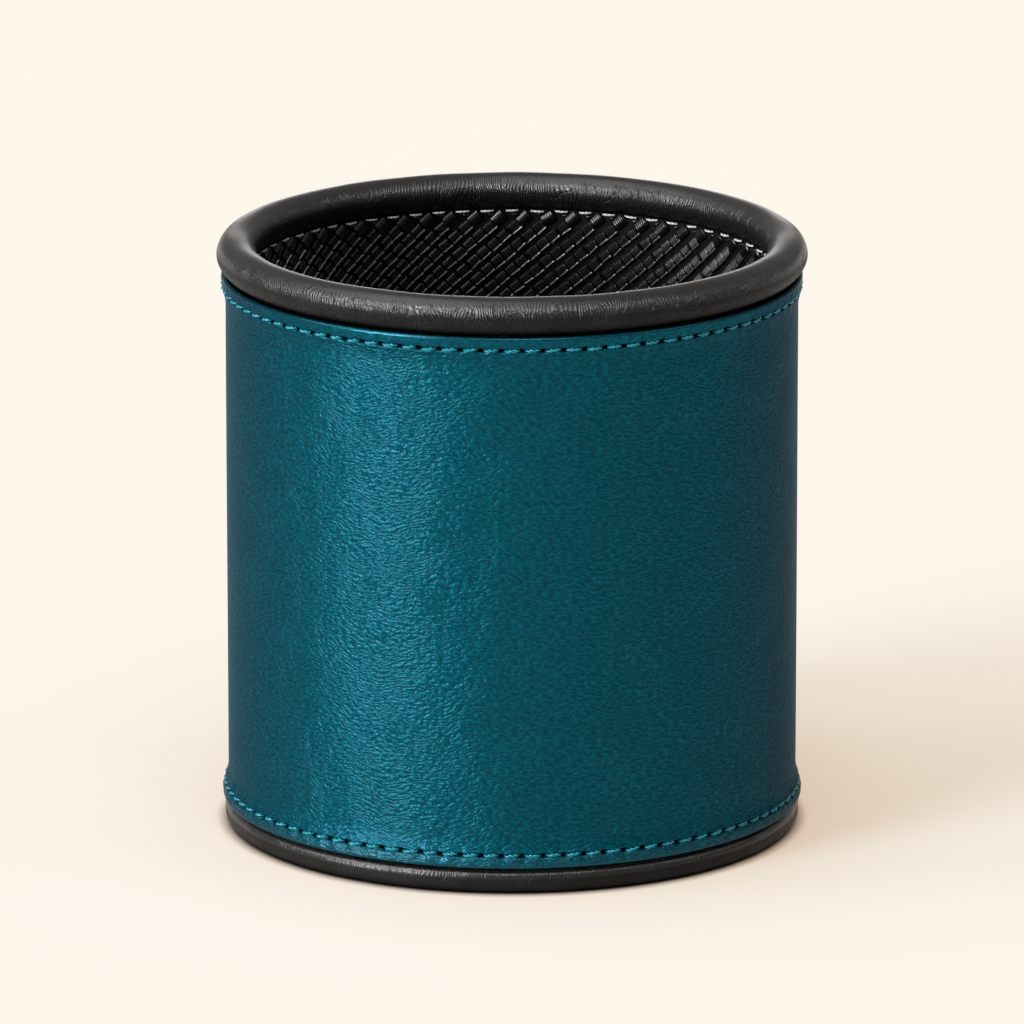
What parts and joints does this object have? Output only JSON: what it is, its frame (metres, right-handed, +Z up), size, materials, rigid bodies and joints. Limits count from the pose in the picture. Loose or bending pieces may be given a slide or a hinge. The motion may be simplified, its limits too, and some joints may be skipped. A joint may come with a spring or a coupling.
{
  "type": "pen holder",
  "caption": "Round desk pen holder: board tube wrapped in stitched leather, with a padded leather rim, a woven lining and a leather-edged base on felt.",
  "frame": {"origin": "centre of the felt pad's underside, where the holder stands on the desk", "axes": "+Z up along the cup's axis to the open rim, -Y towards the viewer, the wrap's seam at the back on +Y"},
  "size_m": [0.0974, 0.0974, 0.1],
  "materials": {
    "teal_leather": "satin",
    "black_leather": "satin",
    "teal_thread": "satin",
    "black_thread": "satin",
    "woven_lining": "satin",
    "padding_cord": "matte",
    "wound_board": "matte",
    "felt": "matte"
  },
  "bodies": {
    "root": {"core_tube": "wound_board", "floor_board": "wound_board", "floor_lining": "woven_lining", "lining_sleeve": "woven_lining", "lining_stitches": "black_thread", "rim_core": "padding_cord", "rim_cover": "black_leather", "outer_wrap": "teal_leather", "upper_hem_stitches": "teal_thread", "lower_hem_stitches": "teal_thread", "seam_stitches": "teal_thread", "base_board": "wound_board", "base_cover": "black_leather", "felt_pad": "felt"}
  },
  "joints": []
}
